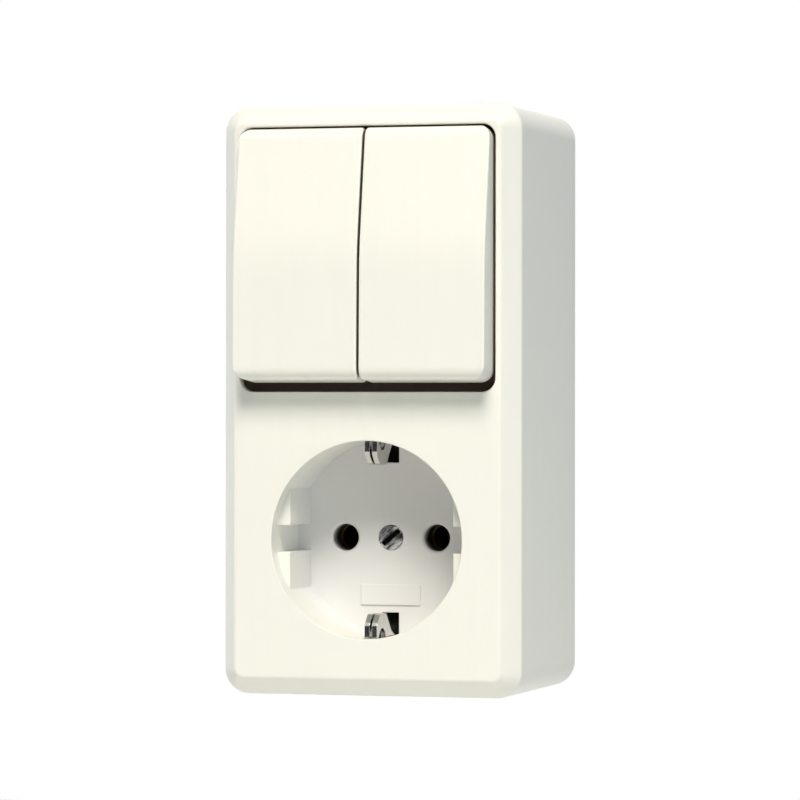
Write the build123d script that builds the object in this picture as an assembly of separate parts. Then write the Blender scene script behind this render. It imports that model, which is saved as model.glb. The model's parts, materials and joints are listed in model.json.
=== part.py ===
from build123d import *
import math
import os

# Surface-mounted twin rocker switch above an earthed two-pin socket, in millimetres.
# +Z is up, the wall is the plane y = 0 and the front of the unit faces -Y.
# The origin is the middle of the back, where the unit meets the wall.

# Hood
hood_width = 61.0
hood_height = 116.6
hood_depth = 47.6
hood_wall = 2.2
hood_corner = 5.0
bevel_across = 3.4
bevel_deep = 4.3
bevel_front_round = 1.0
bevel_side_round = 1.0
knockout_width = 16.0
knockout_deep = 10.0
knockout_skin = 0.8

# Rocker window and rockers
window_side_margin = 4.3
window_top_margin = 4.35
window_above_recess = 9.61
window_corner = 2.7
window_round = 0.3
rocker_side_gap = 0.55
rocker_middle_gap = 0.5
rocker_end_gap = 1.25
rocker_wall = 1.8
rocker_crown = 6.05
rocker_slope = 4.3
rocker_ridge_round = 55.0
rocker_end_round = 2.4
rocker_outer_corner = 2.7
rocker_inner_corner = 0.8
rocker_edge_round = 0.35
rocker_skirt_back = 5.0
rocker_rest_tilt = 5.2
pivot_behind_face = 8.5
axle_radius = 1.25
axle_press_gap = 0.03
axle_running_gap = 0.07

# Rocker cradle, plunger and spring
cradle_length = 18.0
cradle_plate_reach = 12.5
cradle_plate_front = 8.0
cradle_plate_thickness = 1.8
cradle_hub_radius = 3.2
rib_spread = 6.0
rib_thickness = 1.6
tongue_width = 10.0
tongue_height = 2.6
tongue_thickness = 1.4
nib_radius = 0.5
nib_gap = 0.05
tube_radius = 2.7
tube_length = 8.4
spring_seat = 2.2
spring_height = 4.0
spring_radius = 1.2
spring_wire = 0.25
spring_wire_sides = 6
spring_pitch = 0.9
plunger_radius = 1.6
plunger_gap = 0.1
plunger_tip_radius = 1.2
plunger_reach = 10.8

# Rocking contacts and their terminals
blade_gap = 0.05
blade_thickness = 1.0
blade_reach = 9.0
blade_width = 6.0
blade_turn_ratio = 1.35
trunnion_radius = 0.8
trunnion_gap = 0.06
trunnion_reach = 4.6
fork_gap = 0.5
fork_thickness = 1.0
fork_width = 4.0
fork_lip = 0.4
rivet_radius = 1.6
rivet_height = 0.8
rivet_place = 7.5
rivet_gap = 0.05
trunnion_above_strip = 2.5
strip_margin = 1.0
strip_thickness = 0.8
clamp_width = 7.0
clamp_length = 6.0
clamp_depth = 7.0
clamp_gap = 0.1
wire_radius = 1.4
wire_floor = 0.5
clamp_screw_radius = 1.5
clamp_screw_head_radius = 2.6
clamp_screw_head = 2.0
thread_gap = 0.05
common_strip_place = 10.5
common_strip_width = 5.0

# Switch base
switch_base_side_margin = 1.2
switch_base_end_margin = 4.65
switch_base_back = 12.0
flange_side_lap = 1.1
flange_end_lap = 0.85
flange_behind_face = 6.3
flange_thickness = 1.8
cavity_side_gap = 0.5
cavity_end_wall = 2.3

# Socket recess in the hood
socket_above_bottom = 30.84
recess_radius = 19.5
recess_depth = 17.5
recess_wall = 1.6
recess_floor = 2.2
recess_rim_round = 1.4
pin_spacing = 19.0
pin_hole_radius = 2.7
pin_hole_ease = 0.4
pin_collar_wall = 1.2
pin_collar_length = 4.0
guide_face = 16.75
guide_front = 3.7
guide_groove = 5.3
slot_width = 3.4
slot_inner_radius = 15.0
slot_front = 2.6
label_width = 12.4
label_height = 4.1
label_drop = 11.5
label_raise = 0.2

# Earth bracket
bracket_width = 8.0
bracket_thickness = 1.0
clip_width = 2.55
clip_leaf = 1.05
clip_web = 0.8
clip_web_gap = 0.4
clip_front = 3.3
clip_tip_radius = 14.75
clip_lead_radius = 16.7
clip_tip_front = 5.7
clip_tip_back = 9.9
clip_heel_radius = 18.3
clip_heel = 13.5
clip_back = 16.5
clip_tip_round = 1.6
clip_hole_radius = 2.5
clip_hole_place = 7.2
clip_hole_beyond_recess = 0.6
earth_tab_length = 13.0
earth_screw_radius = 1.75
earth_screw_head_radius = 3.0
earth_washer = 7.6

# Socket base and pin contacts
socket_base_width = 43.0
socket_base_height = 26.0
socket_base_back = 8.0
sleeve_bore = 2.5
sleeve_wall = 0.7
sleeve_front_gap = 0.5
sleeve_slit = 0.8
pocket_gap = 0.3
contact_strip_back = 13.0
contact_strip_reach = 20.5
pin_length = 19.0
pin_end_room = 0.6

# Base plate and screws
plate_thickness = 3.0
plate_gap = 0.3
plate_corner = 2.5
plate_rim = 1.5
plate_rim_height = 5.0
wall_hole_margin = 8.3
wall_hole_radius = 2.25
cable_width = 30.0
cable_height = 13.0
cable_above_socket = 25.46
cable_corner = 3.0
pillar_radius = 3.2
switch_pillar_side_inset = 5.0
switch_pillar_end_inset = 5.5
socket_pillar_x = 16.0
socket_pillar_z = 9.0
base_screw_radius = 1.5
base_screw_head_radius = 2.9
base_screw_grip = 5.0
cover_screw_radius = 1.5
cover_screw_head_radius = 2.55
cover_screw_head_cone = 1.05
cover_screw_head_dome = 0.45
cover_screw_length = 11.0
cover_screw_slot = 1.0
cover_screw_slot_deep = 0.8
cover_screw_slot_turn = 40.0
screw_gap = 0.1

# How far a cut runs past the face it opens, how far a block runs into the one it joins,
# and how near an edge lies to the plane it is picked by
overrun = 1.0
bury = 0.5
near_enough = 0.01

# Places worked out from the sizes above
face_y = -hood_depth
socket_height = socket_above_bottom - hood_height / 2
window_width = hood_width - 2 * window_side_margin
window_top = hood_height / 2 - window_top_margin
window_height = window_top - socket_height - recess_radius - window_above_recess
switch_height = window_top - window_height / 2
switch_base_width = window_width - 2 * switch_base_side_margin
switch_base_height = window_height - 2 * switch_base_end_margin
switch_pillar_x = switch_base_width / 2 - switch_pillar_side_inset
switch_pillar_z = switch_base_height / 2 - switch_pillar_end_inset
cavity_height = switch_base_height - 2 * cavity_end_wall
flange_y = face_y + flange_behind_face
recess_floor_y = face_y + recess_depth
recess_back_y = recess_floor_y + recess_floor
collar_back_y = recess_back_y + pin_collar_length
collar_radius = pin_hole_radius + pin_collar_wall
pivot_y = face_y + pivot_behind_face
rocker_outer_x = window_width / 2 - rocker_side_gap
rocker_inner_x = rocker_middle_gap / 2
rocker_middle_x = (rocker_outer_x + rocker_inner_x) / 2
rocker_reach = window_height / 2 - rocker_end_gap
ridge_y = face_y - rocker_crown
rocker_end_y = ridge_y + rocker_reach * math.tan(math.radians(rocker_slope))
plate_front_y = pivot_y - cradle_plate_front
fulcrum_y = pivot_y + plunger_reach + blade_gap + blade_thickness + trunnion_radius / 2
blade_rest_tilt = rocker_rest_tilt * blade_turn_ratio
strip_front_y = fulcrum_y + trunnion_above_strip
cavity_floor_y = strip_front_y + strip_thickness
cavity_half = cradle_length / 2 + cavity_side_gap
pin_x = pin_spacing / 2
SIDES = {"left": -1, "right": 1}


def block(x, y, z):
    """A box between the two ends given for each axis."""
    size = [max(ends) - min(ends) for ends in (x, y, z)]
    middle = [sum(ends) / 2 for ends in (x, y, z)]
    return Pos(*middle) * Box(*size)


def rod(radius, start, end):
    """A round bar from one point to another."""
    run = Vector(*end) - Vector(*start)
    return Solid.make_cylinder(radius, run.length, Plane(start, z_dir=run))


def cone(start_radius, end_radius, start, end):
    """A tapered round bar from one point to another."""
    run = Vector(*end) - Vector(*start)
    return Solid.make_cone(start_radius, end_radius, run.length, Plane(start, z_dir=run))


def prism(outline, back, front):
    """An outline drawn as seen from the front, carried from the back plane to the front plane."""
    plane = Plane((0, back, 0), x_dir=(1, 0, 0), z_dir=(0, -1, 0))
    return extrude(plane * outline, amount=back - front)


def slab(outline, start, end):
    """An outline drawn in y and z, carried along X."""
    plane = Plane((start, 0, 0), x_dir=(0, 1, 0), z_dir=(1, 0, 0))
    return extrude(plane * outline, amount=end - start)


def mirrored(side, shape):
    """The right-hand shape itself, or its mirror image for the left."""
    if side > 0:
        return shape
    return mirror(shape, Plane.YZ)


def tilt_rocker(shape):
    """Turn a piece from the middle of the rocker's travel to its rest, top pressed in."""
    return shape.rotate(Axis((0, pivot_y, switch_height), (1, 0, 0)), -rocker_rest_tilt)


def tilt_blade(shape):
    """Turn a rocking contact from the middle of its travel to its rest."""
    return shape.rotate(Axis((0, fulcrum_y, switch_height), (1, 0, 0)), blade_rest_tilt)


def hood_form(inset):
    """The hood's bevelled box, or the hollow that lies one even wall inside it."""
    slant = math.hypot(1 / bevel_across, 1 / bevel_deep)
    across = bevel_across * (1 + inset * (slant - 1 / bevel_deep)) - inset
    deep = bevel_deep * (1 + inset * (slant - 1 / bevel_across)) - inset
    outline = RectangleRounded(
        hood_width - 2 * inset, hood_height - 2 * inset, hood_corner - inset)
    form = prism(outline, 0, face_y + inset)
    front = form.faces().sort_by(Axis.Y)[0]
    return chamfer(front.edges(), across, deep, reference=front)


def hood_shell():
    outer = hood_form(0)
    front = outer.faces().sort_by(Axis.Y)[0]
    outer = fillet(front.edges(), bevel_front_round)
    bevel_back = face_y + bevel_deep
    side_edges = [edge for edge in outer.edges() if abs(edge.center().Y - bevel_back) < near_enough]
    outer = fillet(side_edges, bevel_side_round)
    return outer - hood_form(hood_wall)


def recess_guides():
    """The two plug guides: wall segments with a flat face and a groove across the middle."""
    ring = prism(Pos(0, socket_height) * Circle(recess_radius + recess_wall / 2),
                 recess_floor_y, face_y + guide_front)
    high = (socket_height - recess_radius, socket_height + recess_radius)
    middle = block((-guide_face, guide_face), (face_y, 0), high)
    groove_z = (socket_height - guide_groove / 2, socket_height + guide_groove / 2)
    groove = block((-hood_width, hood_width), (face_y, 0), groove_z)
    return ring - middle - groove


def earth_slots():
    """Openings in the recess wall and floor for the earth clips."""
    outer = recess_radius + 2 * recess_wall
    slots = []
    for way in (-1, 1):
        ends = sorted((way * slot_inner_radius, way * outer))
        slots.append(block((-slot_width / 2, slot_width / 2),
                           (face_y + slot_front, recess_back_y + overrun),
                           (socket_height + ends[0], socket_height + ends[1])))
    return slots


def floor_holes():
    """Pin holes with an eased rim, and the countersunk hole of the cover screw."""
    holes = []
    for x in (-pin_x, pin_x):
        at = (x, recess_floor_y, socket_height)
        holes.append(rod(pin_hole_radius, at, (x, collar_back_y + overrun, socket_height)))
        holes.append(cone(pin_hole_radius + pin_hole_ease, pin_hole_radius, at,
                          (x, recess_floor_y + pin_hole_ease, socket_height)))
    centre = (0, recess_floor_y, socket_height)
    cone_end = (0, recess_floor_y + cover_screw_head_cone + screw_gap, socket_height)
    holes.append(cone(cover_screw_head_radius + screw_gap, cover_screw_radius + screw_gap,
                      centre, cone_end))
    holes.append(rod(cover_screw_radius + screw_gap, centre,
                     (0, recess_back_y + overrun, socket_height)))
    return holes


def pin_collars():
    """Short tubes behind the recess floor that lead the pins to their contacts."""
    return [rod(collar_radius, (x, recess_floor_y + recess_floor / 2, socket_height),
                (x, collar_back_y, socket_height)) for x in (-pin_x, pin_x)]


def knockouts():
    """Thinned fields inside the top and bottom walls, to be broken out for a surface cable."""
    inner = hood_height / 2 - hood_wall
    skin = hood_height / 2 - knockout_skin
    fields = []
    for way in (-1, 1):
        fields.append(block((-knockout_width / 2, knockout_width / 2), (-knockout_deep, overrun),
                            sorted((way * (inner - overrun), way * skin))))
    return fields


def housing_cover():
    cover = hood_shell()
    cover += prism(Pos(0, socket_height) * Circle(recess_radius + recess_wall),
                   recess_back_y, face_y + hood_wall / 2)
    cover -= prism(Pos(0, socket_height) * Circle(recess_radius), recess_floor_y, face_y - overrun)
    window = RectangleRounded(window_width, window_height, window_corner)
    cover -= prism(Pos(0, switch_height) * window, face_y + 2 * hood_wall, face_y - overrun)
    rims = cover.faces().sort_by(Axis.Y)[0].inner_wires()
    recess_rim = [wire for wire in rims if wire.center().Z < 0]
    window_rim = [wire for wire in rims if wire.center().Z > 0]
    cover = fillet([edge for wire in recess_rim for edge in wire.edges()], recess_rim_round)
    window_edges = [edge for wire in window_rim for edge in wire.edges()]
    cover = fillet(window_edges, window_round)
    cover += recess_guides()
    for collar in pin_collars():
        cover += collar
    label_z = socket_height - label_drop
    cover += block((-label_width / 2, label_width / 2),
                   (recess_floor_y - label_raise, recess_floor_y + recess_floor / 2),
                   (label_z - label_height / 2, label_z + label_height / 2))
    for cut in earth_slots() + floor_holes() + knockouts():
        cover -= cut
    return cover


def rocker_outline(inset, back):
    """The rocker seen from the side: two slopes that meet in a rounded ridge."""
    reach = rocker_reach - inset
    end_y = ridge_y + inset + reach * math.tan(math.radians(rocker_slope))
    return Polyline((back, -reach), (end_y, -reach), (ridge_y + inset, 0), (end_y, reach),
                    (back, reach), close=True)


def rocker_front_outline():
    """The right-hand rocker seen from the front, with its four corners rounded."""
    low, high = switch_height - rocker_reach, switch_height + rocker_reach
    face = make_face(Polyline((rocker_inner_x, low), (rocker_outer_x, low), (rocker_outer_x, high),
                              (rocker_inner_x, high), close=True))
    corners = face.vertices().sort_by(Axis.X)
    face = fillet(corners[2:], rocker_outer_corner)
    inner = [v for v in face.vertices() if abs(v.X - rocker_inner_x) < near_enough]
    return fillet(inner, rocker_inner_corner)


def rocker_body():
    """The outer form of the right-hand rocker: a rounded bar cut to the front outline."""
    back = pivot_y - rocker_skirt_back
    face = make_face(Pos(0, switch_height) * rocker_outline(0, back))
    corners = face.vertices().sort_by(Axis.X)
    face = fillet(corners[0], rocker_ridge_round)
    ends = [v for v in face.vertices() if abs(v.X - rocker_end_y) < near_enough]
    face = fillet(ends, rocker_end_round)
    body = slab(face, rocker_inner_x, rocker_outer_x)
    for x in (rocker_inner_x, rocker_outer_x):
        side = body.edges().filter_by_position(Axis.X, x - near_enough, x + near_enough)
        front_edges = [edge for edge in side if edge.center().Y < back - near_enough]
        body = fillet(front_edges, rocker_edge_round)
    return body & prism(rocker_front_outline(), back, ridge_y - overrun)


def rocker():
    """The right-hand rocker: a hollow cap with two ribs that stand on its cradle."""
    body = rocker_body()
    back = pivot_y - rocker_skirt_back
    hollow = make_face(Pos(0, switch_height) * rocker_outline(rocker_wall, back))
    body -= slab(hollow, rocker_inner_x + rocker_wall, rocker_outer_x - rocker_wall)
    reach = cradle_plate_reach
    for way in (-1, 1):
        x = rocker_middle_x + way * rib_spread
        rib = block((x - rib_thickness / 2, x + rib_thickness / 2),
                    (ridge_y + rocker_wall / 2, plate_front_y),
                    (switch_height - reach, switch_height + reach))
        nib_x = x + way * rib_thickness / 2
        nib_y = plate_front_y - tongue_height / 2
        groove = rod(nib_radius + nib_gap, (nib_x, nib_y, switch_height - tongue_width),
                     (nib_x, nib_y, switch_height + tongue_width))
        under = slab(make_face(Pos(0, switch_height) * rocker_outline(rocker_wall / 2, back)),
                     x - rib_thickness, x + rib_thickness)
        body += (rib & under) - groove
    return body


def rocker_cradle():
    """The right-hand cradle: hub on the axle, plate under the rocker and tube for the plunger."""
    x = rocker_middle_x
    z = switch_height
    half = cradle_length / 2
    plate_back = plate_front_y + cradle_plate_thickness
    cradle = rod(cradle_hub_radius, (x - half, pivot_y, z), (x + half, pivot_y, z))
    cradle += block((x - half, x + half), (plate_front_y, plate_back),
                    (z - cradle_plate_reach, z + cradle_plate_reach))
    cradle += block((x - half, x + half), (plate_back - bury, pivot_y),
                    (z - cradle_hub_radius / 2, z + cradle_hub_radius / 2))
    cradle += rod(tube_radius, (x, pivot_y, z), (x, pivot_y + tube_length, z))
    for way in (-1, 1):
        inner = x + way * (rib_spread + rib_thickness / 2)
        tongue_x = sorted((inner, inner + way * tongue_thickness))
        cradle += block(tongue_x, (plate_front_y - tongue_height, plate_front_y + bury),
                        (z - tongue_width / 2, z + tongue_width / 2))
        nib_y = plate_front_y - tongue_height / 2
        cradle += rod(nib_radius, (inner, nib_y, z - tongue_width / 2),
                      (inner, nib_y, z + tongue_width / 2))
    cradle -= rod(axle_radius + axle_running_gap, (x - hood_width, pivot_y, z),
                  (x + hood_width, pivot_y, z))
    cradle -= rod(plunger_radius + plunger_gap, (x, pivot_y + spring_seat, z),
                  (x, pivot_y + tube_length + overrun, z))
    return cradle


def plunger():
    x = rocker_middle_x
    z = switch_height
    start = pivot_y + spring_seat + spring_height
    tip = pivot_y + plunger_reach - plunger_tip_radius
    shoulder = pivot_y + tube_length
    stem = rod(plunger_radius, (x, start, z), (x, shoulder, z))
    stem += rod(plunger_tip_radius, (x, shoulder, z), (x, tip, z))
    return stem + Pos(x, tip, z) * Sphere(plunger_tip_radius)


def plunger_spring():
    """The coil spring between the cradle and the plunger."""
    start = pivot_y + spring_seat + spring_wire
    rise = spring_height - 2 * spring_wire
    coil = Helix(spring_pitch, rise, spring_radius)
    section = Plane(coil @ 0, z_dir=coil % 0) * RegularPolygon(spring_wire, spring_wire_sides)
    wire = sweep(section, path=coil, is_frenet=True)
    seat = Plane((rocker_middle_x, start, switch_height), x_dir=(1, 0, 0), z_dir=(0, 1, 0))
    return seat * wire


def contact_blade():
    """The right-hand rocking contact, with the trunnion that it turns on."""
    x = rocker_middle_x
    z = switch_height
    front = pivot_y + plunger_reach + blade_gap
    blade = block((x - blade_width / 2, x + blade_width / 2), (front, front + blade_thickness),
                  (z - blade_reach, z + blade_reach))
    return blade + rod(trunnion_radius, (x - trunnion_reach, fulcrum_y, z),
                       (x + trunnion_reach, fulcrum_y, z))


def moving_contact():
    back = pivot_y + plunger_reach + blade_gap + blade_thickness
    z = switch_height - rivet_place
    return rod(rivet_radius, (rocker_middle_x, back, z), (rocker_middle_x, back + rivet_height, z))


def clamp(x, z, way):
    """A terminal clamp at the end of a strip, with its wire hole and its tapped screw hole."""
    near = z + way * clamp_length
    body = block((x - clamp_width / 2, x + clamp_width / 2),
                 (cavity_floor_y - strip_thickness, cavity_floor_y + clamp_depth),
                 sorted((z, near)))
    middle = z + way * clamp_length / 2
    screw_y = cavity_floor_y + clamp_depth / 2
    body -= rod(wire_radius, (x, cavity_floor_y + wire_floor, middle),
                (x, cavity_floor_y + clamp_depth + overrun, middle))
    return body - rod(clamp_screw_radius + thread_gap, (x, screw_y, middle),
                      (x, screw_y, near + way * overrun))


def fixed_contact_y():
    """Front of the fixed contact, just clear of the tilted moving contact."""
    turn = math.radians(blade_rest_tilt)
    back = rivet_height - trunnion_radius / 2
    reach = (rivet_place + rivet_radius) * math.sin(turn)
    return fulcrum_y + back * math.cos(turn) + reach + rivet_gap


def output_terminal():
    """The right-hand output strip, below the fixed contact, with its clamp."""
    x = rocker_middle_x
    clamp_z = switch_height - cavity_height / 2 + clamp_length + clamp_gap
    half = rivet_radius + strip_margin
    strip = block((x - half, x + half), (strip_front_y, cavity_floor_y),
                  (clamp_z - bury, switch_height - rivet_place + half))
    return strip + clamp(x, clamp_z, -1)


def fixed_contact():
    front = fixed_contact_y()
    z = switch_height - rivet_place
    return rod(rivet_radius, (rocker_middle_x, front, z), (rocker_middle_x, strip_front_y, z))


def fork_plates(x):
    """Two upright plates with open notches for the ends of a blade's trunnion."""
    z = switch_height
    front = fulcrum_y - trunnion_radius - fork_lip
    plates = []
    for way in (-1, 1):
        inner = x + way * (blade_width / 2 + fork_gap)
        span = sorted((inner, inner + way * fork_thickness))
        plate = block(span, (front, cavity_floor_y), (z - fork_width / 2, z + fork_width / 2))
        notch = trunnion_radius + trunnion_gap
        plate -= rod(notch, (span[0] - overrun, fulcrum_y, z), (span[1] + overrun, fulcrum_y, z))
        plate -= block((span[0] - overrun, span[1] + overrun), (front - overrun, fulcrum_y),
                       (z - notch, z + notch))
        plates.append(plate)
    return plates


def common_terminal():
    """The feed strip across both switches, with the forks and one clamp."""
    z = switch_height
    low = z + common_strip_place - common_strip_width / 2
    high = z + common_strip_place + common_strip_width / 2
    fork_half = blade_width / 2 + fork_gap + fork_thickness
    strip = block((-rocker_middle_x - fork_half, rocker_middle_x + fork_half),
                  (strip_front_y, cavity_floor_y), (low, high))
    for side in SIDES.values():
        x = side * rocker_middle_x
        strip += block((x - fork_half, x + fork_half), (strip_front_y, cavity_floor_y),
                       (z - fork_width / 2, low + bury))
        for plate in fork_plates(x):
            strip += plate
    clamp_z = z + cavity_height / 2 - clamp_length - clamp_gap
    strip += block((rocker_middle_x - rivet_radius, rocker_middle_x + rivet_radius),
                   (strip_front_y, cavity_floor_y), (high - bury, clamp_z + bury))
    return strip + clamp(rocker_middle_x, clamp_z, 1)


def terminal_screw(x, way):
    """A clamp screw driven along Z through the end wall of the switch base."""
    seat = switch_height + way * (cavity_height / 2 - clamp_gap)
    end = switch_height + way * (cavity_height / 2 - clamp_gap - clamp_length / 2)
    y = cavity_floor_y + clamp_depth / 2
    screw = rod(clamp_screw_radius, (x, y, end), (x, y, seat))
    return screw + rod(clamp_screw_head_radius, (x, y, seat),
                       (x, y, seat + way * clamp_screw_head))


def switch_terminal_screws():
    low = [terminal_screw(side * rocker_middle_x, -1) for side in SIDES.values()]
    return Compound(children=low + [terminal_screw(rocker_middle_x, 1)])


def switch_cavities():
    """Hollows of the switch base: one for each switch, a feed channel and the clamp pockets."""
    z = switch_height
    cuts = []
    for side in SIDES.values():
        x = side * rocker_middle_x
        cuts.append(block((x - cavity_half, x + cavity_half), (-hood_depth, cavity_floor_y),
                          (z - cavity_height / 2, z + cavity_height / 2)))
    channel = common_strip_width / 2 + clamp_gap
    cuts.append(block((-rocker_middle_x, rocker_middle_x), (flange_y - overrun, cavity_floor_y),
                      (z + common_strip_place - channel, z + common_strip_place + channel)))
    screw_y = cavity_floor_y + clamp_depth / 2
    for x, way in ((-rocker_middle_x, -1), (rocker_middle_x, -1), (rocker_middle_x, 1)):
        half = clamp_width / 2 + clamp_gap
        end = z + way * cavity_height / 2
        start = end - way * (clamp_length + 2 * clamp_gap)
        cuts.append(block((x - half, x + half), (cavity_floor_y - overrun, cavity_floor_y + clamp_depth),
                          sorted((start, end))))
        cuts.append(rod(clamp_screw_head_radius + pocket_gap, (x, screw_y, end - way * overrun),
                        (x, screw_y, end + way * switch_base_height)))
        wire_z = end - way * (clamp_gap + clamp_length / 2)
        cuts.append(rod(wire_radius + pocket_gap, (x, screw_y, wire_z), (x, 0, wire_z)))
    return cuts


def switch_pillars():
    return [(x, switch_height + z) for x in (-switch_pillar_x, switch_pillar_x)
            for z in (-switch_pillar_z, switch_pillar_z)]


def socket_pillars():
    return [(x, socket_height + z) for x in (-socket_pillar_x, socket_pillar_x)
            for z in (-socket_pillar_z, socket_pillar_z)]


def switch_base():
    z = switch_height
    base = block((-switch_base_width / 2, switch_base_width / 2),
                 (flange_y, -switch_base_back),
                 (z - switch_base_height / 2, z + switch_base_height / 2))
    flange_x = window_width / 2 + flange_side_lap
    flange_z = window_height / 2 + flange_end_lap
    base += block((-flange_x, flange_x), (flange_y, flange_y + flange_thickness),
                  (z - flange_z, z + flange_z))
    for cut in switch_cavities():
        base -= cut
    base -= rod(axle_radius + axle_press_gap, (-hood_width, pivot_y, z), (hood_width, pivot_y, z))
    for x, pillar_z in switch_pillars():
        base -= rod(base_screw_radius + thread_gap, (x, 0, pillar_z),
                    (x, -switch_base_back - base_screw_grip - overrun, pillar_z))
    return base


def rocker_axle():
    half = switch_base_width / 2
    return rod(axle_radius, (-half, pivot_y, switch_height), (half, pivot_y, switch_height))


def clip_outline():
    """One leaf of an earth clip, drawn in y and in distance from the socket's centre."""
    web = recess_radius + recess_wall + clip_web_gap
    front = face_y + clip_front
    points = [(front, web), (front, clip_lead_radius), (face_y + clip_tip_front, clip_tip_radius),
              (face_y + clip_tip_back, clip_tip_radius), (face_y + clip_heel, clip_heel_radius),
              (face_y + clip_back, recess_radius), (face_y + clip_back, web)]
    leaf = make_face(Polyline(*points, close=True))
    tip = [v for v in leaf.vertices() if v.Y < clip_lead_radius + near_enough]
    leaf = fillet(tip, clip_tip_round)
    hole_out = recess_radius + clip_hole_beyond_recess
    return leaf - Pos(face_y + clip_hole_place, hole_out) * Circle(clip_hole_radius)


def earth_clip():
    """The upper earth clip: a folded channel whose two leaves reach through the recess wall."""
    web = recess_radius + recess_wall + clip_web_gap
    back = recess_back_y + screw_gap + bracket_thickness
    clip = block((-clip_width / 2, clip_width / 2), (face_y + clip_front, back),
                 (web, web + clip_web))
    inner = clip_width / 2 - clip_leaf
    for start in (-clip_width / 2, inner):
        clip += slab(clip_outline(), start, start + clip_leaf)
    return clip


def earth_bracket():
    """One strip behind the recess floor, with a clip at each end and a terminal tab."""
    front = recess_back_y + screw_gap
    back = front + bracket_thickness
    web = recess_radius + recess_wall + clip_web_gap + clip_web
    tab = socket_base_height / 2 + pocket_gap
    wide = tab + bracket_thickness
    strip = block((-bracket_width / 2, bracket_width / 2), (front, back), (-wide, wide))
    strip += block((-clip_width / 2, clip_width / 2), (front, back), (-web, web))
    clip = earth_clip()
    strip += clip
    strip += mirror(clip, Plane.XY)
    strip += block((-bracket_width / 2, bracket_width / 2), (front, back + earth_tab_length),
                   (tab, wide))
    tab_y = back + earth_tab_length / 2
    strip -= rod(earth_screw_radius + thread_gap, (0, tab_y, 0), (0, tab_y, web))
    strip -= rod(cover_screw_radius + screw_gap, (0, front - overrun, 0), (0, back + overrun, 0))
    return Pos(0, 0, socket_height) * strip


def earth_terminal_screw():
    """The earth clamp screw with its square washer."""
    tab_y = recess_back_y + screw_gap + bracket_thickness + earth_tab_length / 2
    seat = socket_height + socket_base_height / 2 + pocket_gap + bracket_thickness
    half = earth_washer / 2
    washer_top = seat + bracket_thickness
    screw = rod(earth_screw_radius, (0, tab_y, seat - 2 * bracket_thickness), (0, tab_y, washer_top))
    screw += block((-half, half), (tab_y - half, tab_y + half), (seat, washer_top))
    return screw + rod(earth_screw_head_radius, (0, tab_y, washer_top),
                       (0, tab_y, washer_top + clamp_screw_head))


def pin_contact():
    """The right-hand contact: a slit spring sleeve on a strip that ends in a wire clamp."""
    z = socket_height
    strip_front = -contact_strip_back - strip_thickness
    sleeve_front = collar_back_y + sleeve_front_gap
    outer = sleeve_bore + sleeve_wall
    clamp_start = contact_strip_reach - clamp_length
    contact = rod(outer, (pin_x, sleeve_front, z), (pin_x, -contact_strip_back, z))
    contact += block((pin_x, contact_strip_reach), (strip_front, -contact_strip_back),
                     (z - outer, z + outer))
    contact += block((clamp_start, contact_strip_reach),
                     (strip_front - clamp_depth, -contact_strip_back), (z - outer, z + outer))
    contact -= rod(sleeve_bore, (pin_x, -hood_depth, z), (pin_x, 0, z))
    contact -= block((pin_x - sleeve_slit / 2, pin_x + sleeve_slit / 2),
                     (-hood_depth, strip_front - overrun), (z - hood_width, z + hood_width))
    middle = (clamp_start + contact_strip_reach) / 2
    wire_y = strip_front - wire_radius - wire_floor
    contact -= rod(wire_radius, (middle, wire_y, z - hood_width), (middle, wire_y, z + hood_width))
    return contact - rod(clamp_screw_radius + thread_gap, (middle, -hood_depth, z),
                         (middle, wire_y, z))


def socket_terminal_screw(side):
    middle = side * (contact_strip_reach - clamp_length / 2)
    seat = -contact_strip_back - strip_thickness - clamp_depth
    end = seat + clamp_depth / 2
    screw = rod(clamp_screw_radius, (middle, seat, socket_height), (middle, end, socket_height))
    return screw + rod(clamp_screw_head_radius, (middle, seat - clamp_screw_head, socket_height),
                       (middle, seat, socket_height))


def socket_terminal_screws():
    return Compound(children=[socket_terminal_screw(side) for side in SIDES.values()])


def socket_pocket():
    """The right-hand pocket for a pin contact, its wire way and the room for the pin's end."""
    z = socket_height
    outer = sleeve_bore + sleeve_wall + pocket_gap
    wire_x = contact_strip_reach - clamp_length / 2
    wire_y = -contact_strip_back - strip_thickness - wire_radius - wire_floor
    pocket = rod(outer, (pin_x, -hood_depth, z), (pin_x, -contact_strip_back, z))
    pocket += block((pin_x, contact_strip_reach + pocket_gap), (-hood_depth, -contact_strip_back),
                    (z - outer, z + outer))
    pocket += rod(collar_radius + pocket_gap, (pin_x, -hood_depth, z),
                  (pin_x, collar_back_y + pocket_gap, z))
    pocket += rod(pin_hole_radius, (pin_x, -contact_strip_back - overrun, z),
                  (pin_x, recess_floor_y + pin_length + pin_end_room, z))
    return pocket + rod(wire_radius + pocket_gap, (wire_x, wire_y, z - socket_base_height),
                        (wire_x, wire_y, z + socket_base_height))


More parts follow.
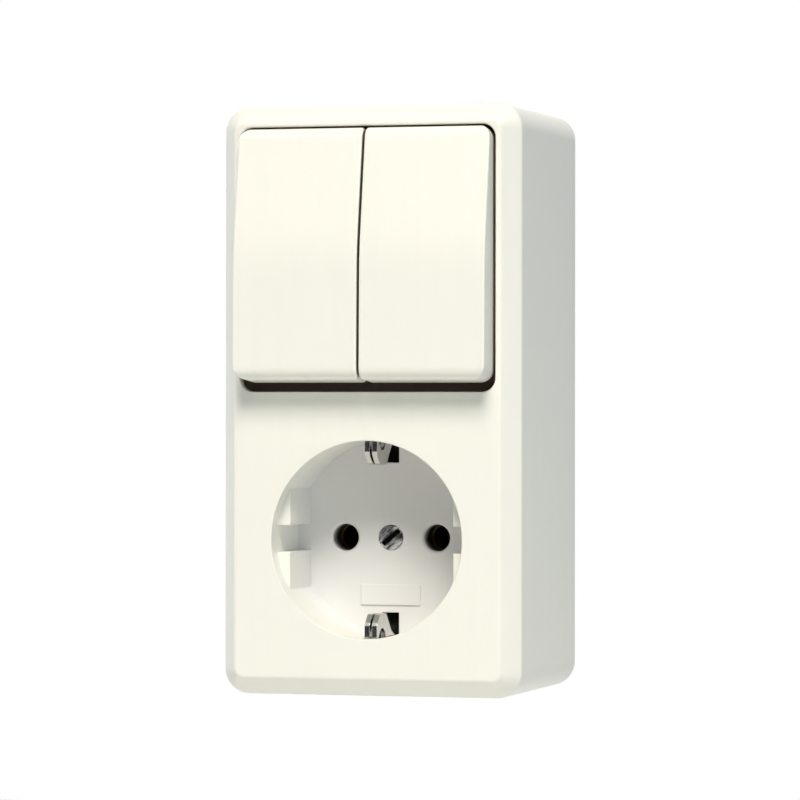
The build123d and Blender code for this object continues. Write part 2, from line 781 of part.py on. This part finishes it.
def socket_base():
    z = socket_height
    base = block((-socket_base_width / 2, socket_base_width / 2),
                 (recess_back_y, -socket_base_back),
                 (z - socket_base_height / 2, z + socket_base_height / 2))
    channel = bracket_width / 2 + screw_gap
    channel_back = recess_back_y + screw_gap + bracket_thickness
    base -= block((-channel, channel), (-hood_depth, channel_back), (z - hood_height, z + hood_height))
    pocket = socket_pocket()
    for side in SIDES.values():
        base -= mirrored(side, pocket)
    base -= rod(cover_screw_radius + thread_gap, (0, -hood_depth, z),
                (0, recess_floor_y + cover_screw_length + overrun, z))
    tab_y = channel_back + earth_tab_length / 2
    top = z + socket_base_height / 2
    base -= rod(earth_screw_radius + pocket_gap, (0, tab_y, top - 2 * bracket_thickness),
                (0, tab_y, top + overrun))
    for x, pillar_z in socket_pillars():
        base -= rod(base_screw_radius + thread_gap, (x, 0, pillar_z),
                    (x, -socket_base_back - base_screw_grip - overrun, pillar_z))
    return base


def base_screw_heads(pillars):
    """Countersinks in the back of the base plate."""
    cone_depth = base_screw_head_radius - base_screw_radius
    cuts = []
    for x, z in pillars:
        cuts.append(cone(base_screw_head_radius + screw_gap, base_screw_radius + screw_gap,
                         (x, 0, z), (x, -cone_depth, z)))
        cuts.append(rod(base_screw_radius + screw_gap, (x, 0, z), (x, -hood_depth, z)))
    return cuts


def base_screws(pillars, seat):
    """Countersunk screws driven from the back through the plate's pillars."""
    cone_depth = base_screw_head_radius - base_screw_radius
    screws = []
    for x, z in pillars:
        screw = cone(base_screw_head_radius, base_screw_radius, (x, -screw_gap, z),
                     (x, -screw_gap - cone_depth, z))
        screw += rod(base_screw_radius, (x, -screw_gap - cone_depth, z),
                     (x, -seat - base_screw_grip, z))
        screws.append(screw)
    return Compound(children=screws)


def base_plate():
    """The wall plate: rim, pillars, wall screw holes and the cable opening."""
    inset = hood_wall + plate_gap
    width = hood_width - 2 * inset
    height = hood_height - 2 * inset
    plate = prism(RectangleRounded(width, height, plate_corner), 0, -plate_thickness - plate_rim_height)
    hollow = RectangleRounded(width - 2 * plate_rim, height - 2 * plate_rim, plate_corner - plate_rim)
    plate -= prism(hollow, -plate_thickness, -hood_depth)
    for x, z in switch_pillars():
        plate += rod(pillar_radius, (x, -plate_thickness, z), (x, -switch_base_back, z))
    for x, z in socket_pillars():
        plate += rod(pillar_radius, (x, -plate_thickness, z), (x, -socket_base_back, z))
    for cut in base_screw_heads(switch_pillars() + socket_pillars()):
        plate -= cut
    wall_hole_z = hood_height / 2 - wall_hole_margin
    for z in (-wall_hole_z, wall_hole_z):
        plate -= rod(wall_hole_radius, (0, overrun, z), (0, -plate_thickness - overrun, z))
    cable_z = socket_height + cable_above_socket
    opening = Pos(0, cable_z) * RectangleRounded(cable_width, cable_height, cable_corner)
    return plate - prism(opening, overrun, -plate_thickness - overrun)


def cover_screw():
    """The slotted oval-head screw in the middle of the recess."""
    head = cover_screw_head_radius
    dome = TangentArc((0, -cover_screw_head_dome), (head, 0), tangent=(1, 0))
    side = Polyline((head, 0), (cover_screw_radius, cover_screw_head_cone),
                    (cover_screw_radius, cover_screw_length), (0, cover_screw_length),
                    (0, -cover_screw_head_dome))
    plane = Plane((0, recess_floor_y, socket_height))
    screw = revolve(plane * make_face(dome + side), Axis((0, 0, socket_height), (0, 1, 0)))
    bottom = recess_floor_y - cover_screw_head_dome + cover_screw_slot_deep
    half = cover_screw_slot / 2
    slot = block((-2 * head, 2 * head), (bottom - 2 * head, bottom),
                 (socket_height - half, socket_height + half))
    return screw - slot.rotate(Axis((0, 0, socket_height), (0, -1, 0)), cover_screw_slot_turn)


def save(name, shape):
    shape.label = name
    export_step(shape, f"parts/{name}.step")


def main():
    os.makedirs("parts", exist_ok=True)
    save("housing_cover", housing_cover())
    save("base_plate", base_plate())
    save("switch_base", switch_base())
    save("rocker_axle", rocker_axle())
    save("common_terminal", common_terminal())
    save("switch_terminal_screws", switch_terminal_screws())
    save("switch_fixing_screws", base_screws(switch_pillars(), switch_base_back))
    save("socket_base", socket_base())
    save("earth_bracket", earth_bracket())
    save("earth_terminal_screw", earth_terminal_screw())
    save("socket_terminal_screws", socket_terminal_screws())
    save("socket_fixing_screws", base_screws(socket_pillars(), socket_base_back))
    save("cover_screw", cover_screw())
    right_hand = {
        "rocker": tilt_rocker(rocker()),
        "rocker_cradle": tilt_rocker(rocker_cradle()),
        "plunger": tilt_rocker(plunger()),
        "plunger_spring": tilt_rocker(plunger_spring()),
        "contact_blade": tilt_blade(contact_blade()),
        "moving_contact": tilt_blade(moving_contact()),
        "output_terminal": output_terminal(),
        "fixed_contact": fixed_contact(),
        "pin_contact": pin_contact(),
    }
    for name, shape in right_hand.items():
        for hand, side in SIDES.items():
            save(f"{hand}_{name}", mirrored(side, shape))


main()
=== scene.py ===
# %% [markdown]
# # A twin rocker switch above an earthed socket
# The shape comes from a finished set of solid parts. This lesson gives each part its surface,
# adds detail that is too fine for the solids, and sets up the light and the camera.
# Everything is in metres, with the wall in the plane y = 0 and the front facing -Y.

# %% Load the parts
import json
import math

import bmesh
import bpy
from mathutils import Matrix, Vector


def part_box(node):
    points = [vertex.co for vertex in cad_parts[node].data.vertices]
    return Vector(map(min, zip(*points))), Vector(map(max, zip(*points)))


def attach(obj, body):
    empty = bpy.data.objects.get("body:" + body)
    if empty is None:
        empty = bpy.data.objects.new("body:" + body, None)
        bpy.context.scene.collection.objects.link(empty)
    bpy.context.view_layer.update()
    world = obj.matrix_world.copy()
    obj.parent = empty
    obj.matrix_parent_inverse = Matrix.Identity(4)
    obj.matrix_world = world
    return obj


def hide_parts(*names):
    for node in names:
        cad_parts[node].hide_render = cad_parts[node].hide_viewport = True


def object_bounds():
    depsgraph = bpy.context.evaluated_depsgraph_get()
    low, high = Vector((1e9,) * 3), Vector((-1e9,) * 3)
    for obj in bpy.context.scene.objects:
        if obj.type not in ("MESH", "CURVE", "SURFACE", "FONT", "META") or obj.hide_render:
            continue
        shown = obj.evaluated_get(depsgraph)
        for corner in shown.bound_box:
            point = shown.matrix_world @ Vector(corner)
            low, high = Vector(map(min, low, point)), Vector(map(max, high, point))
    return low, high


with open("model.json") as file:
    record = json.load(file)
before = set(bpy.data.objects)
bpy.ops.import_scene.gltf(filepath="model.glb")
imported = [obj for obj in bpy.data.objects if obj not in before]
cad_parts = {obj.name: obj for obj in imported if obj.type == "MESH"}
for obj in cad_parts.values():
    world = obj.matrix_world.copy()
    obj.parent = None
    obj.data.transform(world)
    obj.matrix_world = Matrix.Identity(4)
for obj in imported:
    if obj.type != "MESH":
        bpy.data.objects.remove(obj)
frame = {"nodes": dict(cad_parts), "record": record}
cad_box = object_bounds()

# %% [markdown]
# ## A short way to write nodes
# A material is a graph of small nodes, which the shader editor lets you wire by hand. In code,
# each value and each wire takes a line of its own, and the idea gets lost among them. So one
# helper feeds a node, and a second one adds a node that is already fed. What goes into an input
# is a number, a colour or the output of another node.

# %% Helpers that feed a node and add one


def feed(tree, node, inputs):
    """Give each input its value, or a wire where the value is another node's output."""
    for name, value in inputs.items():
        if isinstance(value, bpy.types.NodeSocket):
            tree.links.new(value, node.inputs[name])
        else:
            node.inputs[name].default_value = value


def add(tree, kind, inputs, **settings):
    """Add one node, first its settings and then its inputs."""
    node = tree.nodes.new("ShaderNode" + kind)
    for name, value in settings.items():
        setattr(node, name, value)
    feed(tree, node, inputs)
    return node


print("node helpers:", feed.__name__, add.__name__)

# %% [markdown]
# ## Surfaces that are never quite even
# A moulded or plated surface is never one flat colour. It has a fine grain, and its colour and
# gloss wander a little. A painted picture could show that, but noise that is computed at each
# point needs no picture and has no seams. So each material here is the standard surface with
# noise that drives its colour, its roughness and a very small relief. A bevel node rounds the
# look of sharp edges, as a mould does.

# %% A helper that makes one surface
cloud_detail = 6.0
grain_detail = 3.0
noise_middle = 0.5
edge_samples = 6
surfaces = {}


def surface(name, dark, light, rough, metal=0.0, cloud=90.0, grain=2500.0, relief=0.00001,
            stretch=(1, 1, 1), turn=0.0, edge=0.0, spread=0.5):
    """A material that wanders between two colours and two roughnesses, with a fine relief."""
    made = bpy.data.materials.new(name)
    made.use_nodes = True
    tree = made.node_tree
    place = add(tree, "TexCoord", {}).outputs["Object"]
    turned = add(tree, "Mapping", {"Vector": place, "Rotation": (0, math.radians(turn), 0)})
    spot = add(tree, "Mapping", {"Vector": turned.outputs["Vector"], "Scale": stretch}).outputs["Vector"]
    wander = add(tree, "TexNoise", {"Vector": spot, "Scale": cloud, "Detail": cloud_detail}).outputs["Fac"]
    fine = add(tree, "TexNoise", {"Vector": spot, "Scale": grain, "Detail": grain_detail}).outputs["Fac"]
    share = add(tree, "MapRange", {"Value": wander, "From Min": noise_middle - spread,
                                   "From Max": noise_middle + spread}).outputs["Result"]
    tint = add(tree, "Mix", {"Factor": share, "A": (*dark, 1), "B": (*light, 1)}, data_type="RGBA")
    gloss = add(tree, "MapRange", {"Value": wander, "To Min": rough[0], "To Max": rough[1]})
    bump = add(tree, "Bump", {"Height": fine, "Distance": relief})
    if edge:
        soft = add(tree, "Bevel", {"Radius": edge}, samples=edge_samples)
        feed(tree, bump, {"Normal": soft.outputs["Normal"]})
    feed(tree, tree.nodes["Principled BSDF"], {
        "Metallic": metal,
        "Base Color": tint.outputs["Result"],
        "Roughness": gloss.outputs["Result"],
        "Normal": bump.outputs["Normal"],
    })
    surfaces[name] = made
    return made


print("noise detail:", cloud_detail, "in the clouds,", grain_detail, "in the grain")

# %% [markdown]
# ## Plain mouldings
# The wall plate is grey, and the socket's base and the rockers' cradles inside are pale. The
# insert behind the rockers is dark brown, which is why the gaps round them look dark. They could
# share one material with a colour for each, but their gloss and their edges differ too. So each
# gets a surface of its own.

# %% Make the plain mouldings
surface("plate_plastic", dark=(0.30, 0.30, 0.285), light=(0.36, 0.36, 0.345), rough=(0.5, 0.62),
        relief=0.00003, edge=0.0003)
surface("switch_plastic", dark=(0.22, 0.14, 0.09), light=(0.28, 0.18, 0.12), rough=(0.42, 0.55),
        edge=0.0002)
surface("socket_plastic", dark=(0.52, 0.50, 0.43), light=(0.58, 0.56, 0.49), rough=(0.45, 0.55))
surface("cradle_plastic", dark=(0.60, 0.58, 0.50), light=(0.66, 0.64, 0.56), rough=(0.38, 0.5))
print("plain mouldings:", *surfaces)

# %% [markdown]
# ## Cream plastic
# The hood and the rockers are a warm white moulding with a silky gloss and the faint upright
# streaks of the flowing plastic. A wave texture would draw streaks too, but all alike. So the
# noise is stretched along Z, where no two streaks are the same.

# %% Make the plastic of the hood and of the rockers
cream = {"dark": (0.835, 0.822, 0.752), "light": (0.865, 0.851, 0.780)}
streaks = {"cloud": 400.0, "stretch": (1, 1, 0.06)}
hood = surface("hood_plastic", rough=(0.34, 0.42), edge=0.0004, **cream, **streaks)
rocker = surface("rocker_plastic", rough=(0.28, 0.36), edge=0.0003, **cream, **streaks)
print("cream plastics:", hood.name, rocker.name)

# %% [markdown]
# ## Colour that changes with depth
# Some pieces don't look the same all along their depth: the nickel behind the recess, the slot of a screw
# and a deep recess beside the face are made darker further in, as painted shade. A second material slot
# could show this, but with a hard border. So these helpers read each point's depth, and if asked its
# distance from an axis, and mix a second colour in between two depths.

# %% Helpers that mix in a second colour behind a given depth


def lay_over(material, colour, share):
    """Mix a colour over what the material has so far, by a share from 0 to 1."""
    tree = material.node_tree
    shader = tree.nodes["Principled BSDF"]
    below = shader.inputs["Base Color"].links[0].from_socket
    mixed = add(tree, "Mix", {"Factor": share, "A": below, "B": (*colour, 1)}, data_type="RGBA")
    feed(tree, shader, {"Base Color": mixed.outputs["Result"]})


def near_axis(material, axis, radius):
    """1 within a radius of a line along Y, 0 outside it."""
    tree = material.node_tree
    place = add(tree, "TexCoord", {}).outputs["Object"]
    offset = add(tree, "VectorMath", {0: place, 1: axis}, operation="SUBTRACT").outputs["Vector"]
    flat = add(tree, "VectorMath", {0: offset, 1: (1, 0, 1)}, operation="MULTIPLY").outputs["Vector"]
    away = add(tree, "VectorMath", {0: flat}, operation="LENGTH").outputs["Value"]
    return add(tree, "Math", {0: away, 1: radius}, operation="LESS_THAN").outputs["Value"]


def deepen(material, colour, start, end, where=None):
    """Mix a colour in between the depths start and end, all over or where a mask is 1."""
    tree = material.node_tree
    place = add(tree, "TexCoord", {}).outputs["Object"]
    depth = add(tree, "SeparateXYZ", {"Vector": place}).outputs["Y"]
    share = add(tree, "MapRange", {"Value": depth, "From Min": start, "From Max": end}).outputs["Result"]
    if where:
        share = add(tree, "Math", {0: share, 1: where}, operation="MULTIPLY").outputs["Value"]
    lay_over(material, colour, share)


print("depth helpers:", lay_over.__name__, near_axis.__name__, deepen.__name__)

# %% [markdown]
# ## Where the socket sits
# To use these helpers, the lesson has to know where the front face is, where the floor of the
# round recess is, and where the middle of the socket is. Numbers typed in would fall behind when
# a part changes. So the face is read from the box of the hood, and the middle from the screw
# that sits there. Only the size of the recess is written down: no box shows it.

# %% Measure the face, the recess and the middle of the socket
recess_depth = 0.0175
recess_radius = 0.0195
face = Vector(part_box("housing_cover")[0]).y
recess_floor = face + recess_depth
screw_low, screw_high = (Vector(corner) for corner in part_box("cover_screw"))
socket_axis = (screw_low + screw_high) / 2
print("face at", round(face, 4), "recess floor at", round(recess_floor, 4))
print("middle of the socket at height", round(socket_axis.z, 5))

# %% [markdown]
# ## Painted shade in the recess and its holes
# The wall of the recess is light near the face and greyer further in, and the holes in its floor look
# almost black. Light and shadow do part of that, but a clean colour still looks too bright so deep inside.
# So the hood gets two colours of painted shade over its own: a grey white that grows stronger down to the
# floor, and near black behind the floor.

# %% Darken the recess and its holes
recess_shade_white = (0.795, 0.79, 0.775)
hole_shade = (0.05, 0.045, 0.04)
unshaded_rim = 0.004
recess_margin = 0.001
hole_shade_start = 0.0002
hole_shade_end = 0.0035
inside_recess = near_axis(hood, socket_axis, recess_radius + recess_margin)
# painted shade: a grey white deepens down the recess wall towards its floor
deepen(hood, recess_shade_white, face + unshaded_rim, recess_floor - recess_margin, inside_recess)
# painted shade: near black on the hood behind the recess floor, round the pin holes
deepen(hood, hole_shade, recess_floor + hole_shade_start, recess_floor + hole_shade_end, inside_recess)
print("hood nodes:", len(hood.node_tree.nodes))

# %% [markdown]
# ## Dark gaps
# The slits round the rockers are so narrow that they look dark brown, and that darkness is painted shade.
# Painting the sides of the rockers dark would show as soon as a rocker tips out. So this helper asks, at
# each point, how much of the space in front of it is open within a short reach. Only what is inside a slit
# at that moment gets the painted shade.

# %% A helper that darkens what stands in a narrow slit, used on the rockers
slit_shade_brown = (0.20, 0.13, 0.085)
slit_reach = 0.002
slit_samples = 8
still_lit = 0.5
fully_dark = 0.12


def paint_gap_shade(material, colour, reach):
    """Mix a colour in where little of the space within a reach is open."""
    tree = material.node_tree
    openness = add(tree, "AmbientOcclusion", {"Distance": reach}, samples=slit_samples).outputs["AO"]
    share = add(tree, "MapRange", {"Value": openness, "From Min": still_lit, "From Max": fully_dark})
    lay_over(material, colour, share.outputs["Result"])


# painted shade: the parts of the rockers that stand in a slit go dark brown
paint_gap_shade(rocker, slit_shade_brown, slit_reach)
print("rocker nodes:", len(rocker.node_tree.nodes))

# %% [markdown]
# ## Metals
# The earth clips are bright nickel. The screw in the recess has been turned often, so it has its
# own worn steel with marks along the slot, while the screws at the back are clean. Brass and
# silver are for the contacts inside, and only the pin holes and the cable opening give a glimpse
# of that. One metal in several colours would be quicker, but the marks of wear differ in size
# and direction.

# %% Make the metals
surface("spring_steel", dark=(0.42, 0.42, 0.42), light=(0.55, 0.55, 0.55), rough=(0.22, 0.34), metal=1.0)
surface("contact_brass", dark=(0.24, 0.16, 0.06), light=(0.36, 0.25, 0.10), rough=(0.4, 0.55), metal=1.0,
        stretch=(1, 1, 6))
surface("contact_silver", dark=(0.74, 0.73, 0.70), light=(0.84, 0.83, 0.81), rough=(0.2, 0.3), metal=1.0)
nickel = surface("earth_nickel", dark=(0.44, 0.44, 0.425), light=(0.64, 0.64, 0.62), rough=(0.08, 0.2),
                 metal=1.0, cloud=600.0, relief=0.000004, stretch=(1, 4, 1), edge=0.00015)
steel = surface("screw_steel", dark=(0.40, 0.40, 0.385), light=(0.54, 0.54, 0.52), rough=(0.26, 0.4),
                metal=1.0, cloud=500.0, edge=0.00012)
worn_steel = surface("worn_steel", dark=(0.04, 0.04, 0.038), light=(0.62, 0.62, 0.60), rough=(0.2, 0.34),
                     metal=1.0, cloud=1100.0, stretch=(0.25, 1, 1), turn=40.0, edge=0.00015, spread=0.14)
print("surfaces so far:", len(surfaces))

# %% [markdown]
# ## Painted shade on the metals
# Behind the recess the nickel, the slot of the worn screw and the crosses of the clean ones are darkened as
# painted shade. The depth helper does the first two. The crosses face the wall, at another depth, so there
# the slit helper is the simpler way.

# %% Paint shade into the nickel behind the recess, the screw slot and the screw crosses
nickel_shade = (0.02, 0.02, 0.02)
slot_shade = (0.01, 0.01, 0.01)
cross_shade = (0.03, 0.03, 0.03)
slot_start = -0.0001
slot_end = 0.0003
# painted shade: the nickel goes near black behind the recess floor
deepen(nickel, nickel_shade, recess_floor - recess_margin, recess_floor)
# painted shade: the slot of the screw in the recess goes near black
deepen(worn_steel, slot_shade, recess_floor + slot_start, recess_floor + slot_end)
# painted shade: the crosses of the back screws go dark
paint_gap_shade(steel, cross_shade, slit_reach)
print("nodes:", *(len(metal.node_tree.nodes) for metal in (nickel, worn_steel, steel)))

# %% [markdown]
# ## Each part gets its surface
# The record that came with the parts names a material slot for each one. Reading it keeps this
# list in one place, where a table written here could fall behind. Only the screw in the recess
# differs from its slot: it takes the worn steel.

# %% Give each part its own surface
slot_of = {row["node"]: row["material_slot"] for row in frame["record"]["subparts"]}
for name, node in frame["nodes"].items():
    node.data.materials.clear()
    node.data.materials.append(worn_steel if name == "cover_screw" else surfaces[slot_of[name]])
print("parts with a surface:", len(slot_of))

# %% [markdown]
# ## Screws with a thread
# Eight countersunk screws come in from the back. The solids show them as plain cones on plain
# rods. A screw modifier could wind a profile into a thread, but it leaves the ends open. So here
# a screw is a tube of rings, closed at both ends, whose radius rises and falls along a spiral.

# %% A helper that builds the tube of one screw
head_radius = 0.0029
shank_radius = 0.0015
core_radius = 0.00115
pitch = 0.0012
around = 32
per_turn = 10


def ring_radius(step, depth, share):
    """The head is a cone between two plain rings, and behind it the thread winds round the core."""
    if step == 0:
        return head_radius
    if step == 1:
        return shank_radius
    wave = abs(2 * ((depth / pitch - share) % 1.0) - 1)
    return core_radius + (shank_radius - core_radius) * wave


def screw_tube(length):
    """Rings along the screw, from the head at y = 0 to the point at y = -length."""
    cone = head_radius - shank_radius
    steps = int((length - cone) / pitch * per_turn)
    depths = [0.0, cone] + [cone + (length - cone) * (i + 1) / steps for i in range(steps)]
    shape = bmesh.new()
    rings = []
    for step, depth in enumerate(depths):
        ring = []
        for i in range(around):
            share = i / around
            radius = ring_radius(step, depth, share)
            angle = 2 * math.pi * share
            ring.append(shape.verts.new((radius * math.cos(angle), -depth, radius * math.sin(angle))))
        rings.append(ring)
    for upper, lower in zip(rings, rings[1:]):
        for i in range(around):
            j = (i + 1) % around
            shape.faces.new((upper[i], upper[j], lower[j], lower[i]))
    shape.faces.new(reversed(rings[0]))
    shape.faces.new(rings[-1])
    bmesh.ops.recalc_face_normals(shape, faces=shape.faces)
    mesh = bpy.data.meshes.new("screw")
    shape.to_mesh(mesh)
    shape.free()
    return mesh


print("thread pitch", pitch, "with", per_turn, "rings a turn")

# %% [markdown]
# ## A cross for the driver
# The driver's cross is two crossed slots sunk into the head. Its edges could be built by hand,
# vertex by vertex. Two boolean modifiers that each take a block away are quicker to write and
# cleaner. The blocks are only tools, so they go once the cut is done.

# %% A helper that cuts the cross
cross_length = 0.0032
cross_width = 0.0007
cross_deep = 0.0012


def cross_block(width, height):
    """A block twice as deep as the cross, with its middle on the head's face."""
    shape = bmesh.new()
    size = Matrix.Diagonal((width, 2 * cross_deep, height, 1))
    bmesh.ops.create_cube(shape, size=1.0, matrix=size)
    mesh = bpy.data.meshes.new("cross")
    shape.to_mesh(mesh)
    shape.free()
    block = bpy.data.objects.new("cross", mesh)
    bpy.context.scene.collection.objects.link(block)
    return block


def cut_cross(mesh):
    """The same mesh with a cross sunk into the head."""
    holder = bpy.data.objects.new("screw", mesh)
    bpy.context.scene.collection.objects.link(holder)
    blocks = [cross_block(cross_length, cross_width), cross_block(cross_width, cross_length)]
    for block in blocks:
        cut = holder.modifiers.new("cross", "BOOLEAN")
        cut.object = block
    bpy.context.view_layer.update()
    cut_holder = holder.evaluated_get(bpy.context.evaluated_depsgraph_get())
    done = bpy.data.meshes.new_from_object(cut_holder)
    for tool in (holder, *blocks):
        bpy.data.objects.remove(tool)
    return done


print("cross", cross_length, "long,", cross_deep, "deep")

# %% [markdown]
# ## Eight screws in their places
# Four screws hold the switch and four hold the socket, each set at the corners of a rectangle.
# Eight objects could be placed one by one, but each set is one part of the unit. So the four
# copies are joined in one mesh, and the box of the plain screws says where they go.

# %% Set the screws in the eight places
for node in ("switch_fixing_screws", "socket_fixing_screws"):
    low, high = (Vector(corner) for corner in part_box(node))
    screw = cut_cross(screw_tube(high.y - low.y))
    group = bmesh.new()
    for x in (low.x + head_radius, high.x - head_radius):
        for z in (low.z + head_radius, high.z - head_radius):
            placed = screw.copy()
            placed.transform(Matrix.Translation((x, high.y, z)))
            group.from_mesh(placed)
            bpy.data.meshes.remove(placed)
    joined = bpy.data.meshes.new(node + "_fine")
    group.to_mesh(joined)
    group.free()
    joined.materials.clear()
    joined.materials.append(steel)
    piece = bpy.data.objects.new(node + "_fine", joined)
    bpy.context.scene.collection.objects.link(piece)
    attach(piece, "housing")
    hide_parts(node)
    print(piece.name, len(joined.polygons), "faces")

# %% [markdown]
# ## Light
# The shadow in the round recess says where the main light stood: high up, a little to the right,
# and wide enough for a soft edge. It is a little warm, and the panels to the sides are cool, so
# the face looks cream and the shaded side looks grey. A fourth panel lights the back. Small lamps
# would give hard edges, so one lamp type does all of it: a wide round panel that faces the unit.

# %% Place the lamps
warm = (1.0, 0.955, 0.88)
cool = (0.82, 0.93, 1.0)
cold = (0.76, 0.91, 1.0)


def panel(name, towards, watts, colour, distance=1.6, size=0.9):
    """A round lamp in a direction from the unit, facing it."""
    lamp = bpy.data.lights.new(name, "AREA")
    lamp.shape = "DISK"
    lamp.size = size
    lamp.energy = watts
    lamp.color = colour
    lamp_object = bpy.data.objects.new(name, lamp)
    way = Vector(towards).normalized()
    lamp_object.location = way * distance
    lamp_object.rotation_euler = way.to_track_quat("Z", "Y").to_euler()
    bpy.context.scene.collection.objects.link(lamp_object)


panel("key_light", towards=(0.15, -0.635, 0.757), watts=15.1, colour=warm, distance=1.2, size=0.48)
panel("right_panel", towards=(1.0, -0.75, 0.1), watts=4.4, colour=cold)
panel("left_panel", towards=(-1.0, 0.0, -0.05), watts=7.0, colour=cool)
panel("back_panel", towards=(-0.5, 1.0, 0.3), watts=4.0, colour=cool)
print("lamps:", len(bpy.data.lights))

# %% [markdown]
# ## World
# The world adds a little cool light from all round. A bright white world would give the white
# background too, but it would wash out the shadows. So the camera, shiny metal and glass see it
# as plain white, and everything else gets only the faint glow.

# %% A faint glow that the camera sees as white
glow_colour = (0.68, 0.87, 1, 1)
glow_strength = 0.13
white_colour = (1, 1, 1, 1)
white_strength = 1.0
world = bpy.data.worlds.new("studio")
bpy.context.scene.world = world
world.use_nodes = True
sky = world.node_tree
glow = sky.nodes["Background"]
feed(sky, glow, {"Color": glow_colour, "Strength": glow_strength})
white = add(sky, "Background", {"Color": white_colour, "Strength": white_strength})
rays = add(sky, "LightPath", {})
seen = rays.outputs["Is Camera Ray"]
for kind in ("Is Glossy Ray", "Is Transmission Ray"):
    seen = add(sky, "Math", {0: seen, 1: rays.outputs[kind]}, operation="MAXIMUM").outputs["Value"]
choose = add(sky, "MixShader", {"Fac": seen, 1: glow.outputs["Background"], 2: white.outputs["Background"]})
feed(sky, sky.nodes["World Output"], {"Surface": choose.outputs["Shader"]})
print("world glow", glow_strength)

# %% [markdown]
# ## Floor and dark card
# A sheet of white paper lies just below the picture and lights the unit from beneath, which is
# why its lower bevel is so bright. A dark card stands behind the camera. Metal mirrors whatever
# faces it, so without the card the clips would be white all over and lose their shape. Darker
# nickel would lose its shine instead. The camera doesn't see the card, so it hides nothing.

# %% Lay the paper and stand the card
floor_reach = 0.35
floor_back = 0.03
floor_gap = 0.0297
floor_height = Vector(cad_box[0]).z - floor_gap
card_y = -1.15
card_left, card_right = -0.5, 1.0
card_low, card_high = -0.45, 0.55


def sheet(name, corners, material):
    """One flat sheet that belongs to the studio, not to the unit."""
    mesh = bpy.data.meshes.new(name)
    mesh.from_pydata(corners, [], [(0, 1, 2, 3)])
    mesh.materials.append(material)
    made = bpy.data.objects.new(name, mesh)
    bpy.context.scene.collection.objects.link(made)
    return made


matt = {"rough": (0.8, 0.9), "grain": 600.0}
paper = surface("floor_paper", dark=(0.90, 0.90, 0.89), light=(0.94, 0.94, 0.93), **matt)
board = surface("card_board", dark=(0.02, 0.02, 0.02), light=(0.03, 0.03, 0.03), **matt)
sheet("floor", [(-floor_reach, -floor_reach, floor_height), (floor_reach, -floor_reach, floor_height),
                (floor_reach, floor_back, floor_height), (-floor_reach, floor_back, floor_height)], paper)
card = sheet("card", [(card_left, card_y, card_low), (card_right, card_y, card_low),
                      (card_right, card_y, card_high), (card_left, card_y, card_high)], board)
card.visible_camera = False
print("floor at", round(floor_height, 4), "card at", card_y)

# %% [markdown]
# ## Camera
# The camera stands where the photographer stood: about 0.885 m away, 16 degrees to the right and
# level with the middle of the unit. The long lens keeps the upright edges nearly parallel. A
# target to track would be simpler, but it can't roll. So yaw, pitch and roll are turned into the
# three directions of the camera's own axes.

# %% Place the camera
camera_place = Vector((0.24002, -0.85187, -0.00145))
yaw, nod, roll = (math.radians(angle) for angle in (16.1622, -0.1033, 0.0574))
picture_pixels = 800
focal_pixels = 4274.8
sensor_width = 36.0
ahead = Vector((-math.sin(yaw) * math.cos(nod), math.cos(yaw) * math.cos(nod), -math.sin(nod)))
level = Vector((math.cos(yaw), math.sin(yaw), 0))
upright = level.cross(ahead)
right = level * math.cos(roll) + upright * math.sin(roll)
up = upright * math.cos(roll) - level * math.sin(roll)
lens = bpy.data.cameras.new("camera")
lens.sensor_width = sensor_width
lens.lens = focal_pixels / picture_pixels * sensor_width
camera = bpy.data.objects.new("camera", lens)
camera.matrix_world = Matrix((right, up, -ahead)).transposed().to_4x4()
camera.location = camera_place
bpy.context.scene.collection.objects.link(camera)
bpy.context.scene.camera = camera
bpy.context.scene.view_settings.view_transform = "Standard"
print("lens", round(lens.lens, 1), "mm, distance", round(camera_place.length, 3), "m")

# %% [markdown]
# ## Close the lesson
# The reach of the solids, as they were loaded, is printed at the end.

# %% Print the reach of the solids and finish
print("solids reach from", *cad_box)
